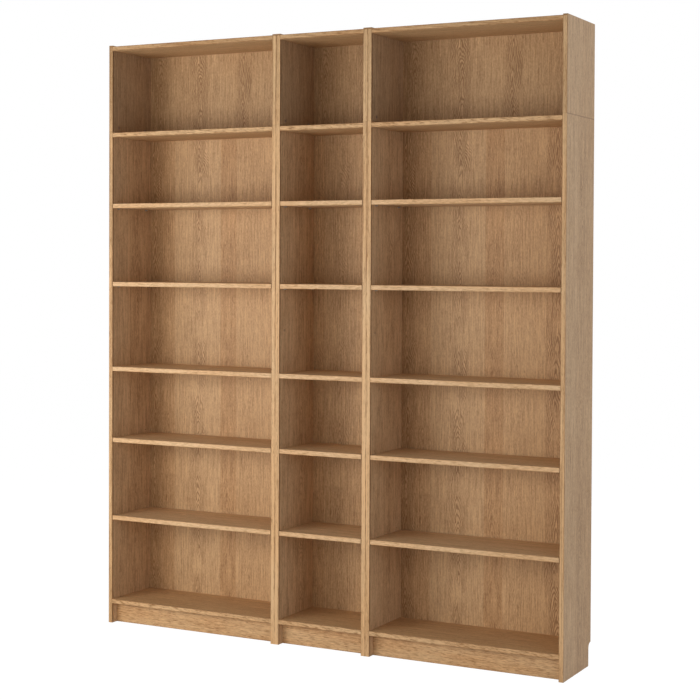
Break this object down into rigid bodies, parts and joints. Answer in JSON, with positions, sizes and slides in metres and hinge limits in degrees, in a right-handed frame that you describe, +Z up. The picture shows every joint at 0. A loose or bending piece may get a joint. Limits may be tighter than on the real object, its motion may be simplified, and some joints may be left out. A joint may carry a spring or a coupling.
{
  "type": "bookcase with adjustable shelves",
  "caption": "Tall, open oak-effect bookcase: two wide bays beside a narrow one, base units under extensions, fixed boards and loose shelves on pins.",
  "frame": {"origin": "on the floor, under the middle of the case", "axes": "+X to the right as seen from the front, +Y towards the wall behind, +Z up"},
  "size_m": [2, 0.28, 2.37],
  "materials": {
    "oak_side": "matt oak-grain foil, grain running up",
    "oak_shelf": "matt oak-grain foil, grain running along",
    "oak_back": "printed oak-grain hardboard, grain running up",
    "pin_steel": "nickel-plated",
    "cam_zinc": "dark die-cast zinc",
    "fitting_steel": "zinc-plated"
  },
  "bodies": {
    "root": {"left_bay_base_side_left": "oak_side", "left_bay_extension_side_left": "oak_side", "left_bay_base_side_right": "oak_side", "left_bay_extension_side_right": "oak_side", "left_bay_plinth": "oak_shelf", "left_bay_bottom_shelf": "oak_shelf", "left_bay_fixed_shelf": "oak_shelf", "left_bay_base_top": "oak_shelf", "left_bay_extension_top": "oak_shelf", "left_bay_base_back": "oak_back", "left_bay_extension_back": "oak_back", "left_bay_shelf_pins": "pin_steel", "left_bay_cams": "cam_zinc", "left_bay_cam_bolts": "pin_steel", "middle_bay_base_side_left": "oak_side", "middle_bay_extension_side_left": "oak_side", "middle_bay_base_side_right": "oak_side", "middle_bay_extension_side_right": "oak_side", "middle_bay_plinth": "oak_shelf", "middle_bay_bottom_shelf": "oak_shelf", "middle_bay_fixed_shelf": "oak_shelf", "middle_bay_base_top": "oak_shelf", "middle_bay_extension_top": "oak_shelf", "middle_bay_base_back": "oak_back", "middle_bay_extension_back": "oak_back", "middle_bay_shelf_pins": "pin_steel", "middle_bay_cams": "cam_zinc", "middle_bay_cam_bolts": "pin_steel", "right_bay_base_side_left": "oak_side", "right_bay_extension_side_left": "oak_side", "right_bay_base_side_right": "oak_side", "right_bay_extension_side_right": "oak_side", "right_bay_plinth": "oak_shelf", "right_bay_bottom_shelf": "oak_shelf", "right_bay_fixed_shelf": "oak_shelf", "right_bay_base_top": "oak_shelf", "right_bay_extension_top": "oak_shelf", "right_bay_base_back": "oak_back", "right_bay_extension_back": "oak_back", "right_bay_shelf_pins": "pin_steel", "right_bay_cams": "cam_zinc", "right_bay_cam_bolts": "pin_steel", "bay_connectors": "fitting_steel", "wall_brackets": "fitting_steel", "wall_bracket_screws": "fitting_steel"},
    "left_shelf_1": {"left_bay_adjustable_shelf_1": "oak_shelf"},
    "left_shelf_2": {"left_bay_adjustable_shelf_2": "oak_shelf"},
    "left_shelf_3": {"left_bay_adjustable_shelf_3": "oak_shelf"},
    "left_shelf_4": {"left_bay_adjustable_shelf_4": "oak_shelf"},
    "middle_shelf_1": {"middle_bay_adjustable_shelf_1": "oak_shelf"},
    "middle_shelf_2": {"middle_bay_adjustable_shelf_2": "oak_shelf"},
    "middle_shelf_3": {"middle_bay_adjustable_shelf_3": "oak_shelf"},
    "middle_shelf_4": {"middle_bay_adjustable_shelf_4": "oak_shelf"},
    "right_shelf_1": {"right_bay_adjustable_shelf_1": "oak_shelf"},
    "right_shelf_2": {"right_bay_adjustable_shelf_2": "oak_shelf"},
    "right_shelf_3": {"right_bay_adjustable_shelf_3": "oak_shelf"},
    "right_shelf_4": {"right_bay_adjustable_shelf_4": "oak_shelf"}
  },
  "joints": [
    {"name": "left_shelf_1_lift", "type": "slide", "parent": "root", "child": "left_shelf_1", "axis": [0, 0, 1], "range_m": [0, 0.288]},
    {"name": "left_shelf_2_lift", "type": "slide", "parent": "root", "child": "left_shelf_2", "axis": [0, 0, 1], "range_m": [0, 0.256]},
    {"name": "left_shelf_3_lift", "type": "slide", "parent": "root", "child": "left_shelf_3", "axis": [0, 0, 1], "range_m": [0, 0.288]},
    {"name": "left_shelf_4_lift", "type": "slide", "parent": "root", "child": "left_shelf_4", "axis": [0, 0, 1], "range_m": [0, 0.256]},
    {"name": "middle_shelf_1_lift", "type": "slide", "parent": "root", "child": "middle_shelf_1", "axis": [0, 0, 1], "range_m": [0, 0.288]},
    {"name": "middle_shelf_2_lift", "type": "slide", "parent": "root", "child": "middle_shelf_2", "axis": [0, 0, 1], "range_m": [0, 0.256]},
    {"name": "middle_shelf_3_lift", "type": "slide", "parent": "root", "child": "middle_shelf_3", "axis": [0, 0, 1], "range_m": [0, 0.288]},
    {"name": "middle_shelf_4_lift", "type": "slide", "parent": "root", "child": "middle_shelf_4", "axis": [0, 0, 1], "range_m": [0, 0.256]},
    {"name": "right_shelf_1_lift", "type": "slide", "parent": "root", "child": "right_shelf_1", "axis": [0, 0, 1], "range_m": [0, 0.288]},
    {"name": "right_shelf_2_lift", "type": "slide", "parent": "root", "child": "right_shelf_2", "axis": [0, 0, 1], "range_m": [0, 0.256]},
    {"name": "right_shelf_3_lift", "type": "slide", "parent": "root", "child": "right_shelf_3", "axis": [0, 0, 1], "range_m": [0, 0.288]},
    {"name": "right_shelf_4_lift", "type": "slide", "parent": "root", "child": "right_shelf_4", "axis": [0, 0, 1], "range_m": [0, 0.256]}
  ]
}
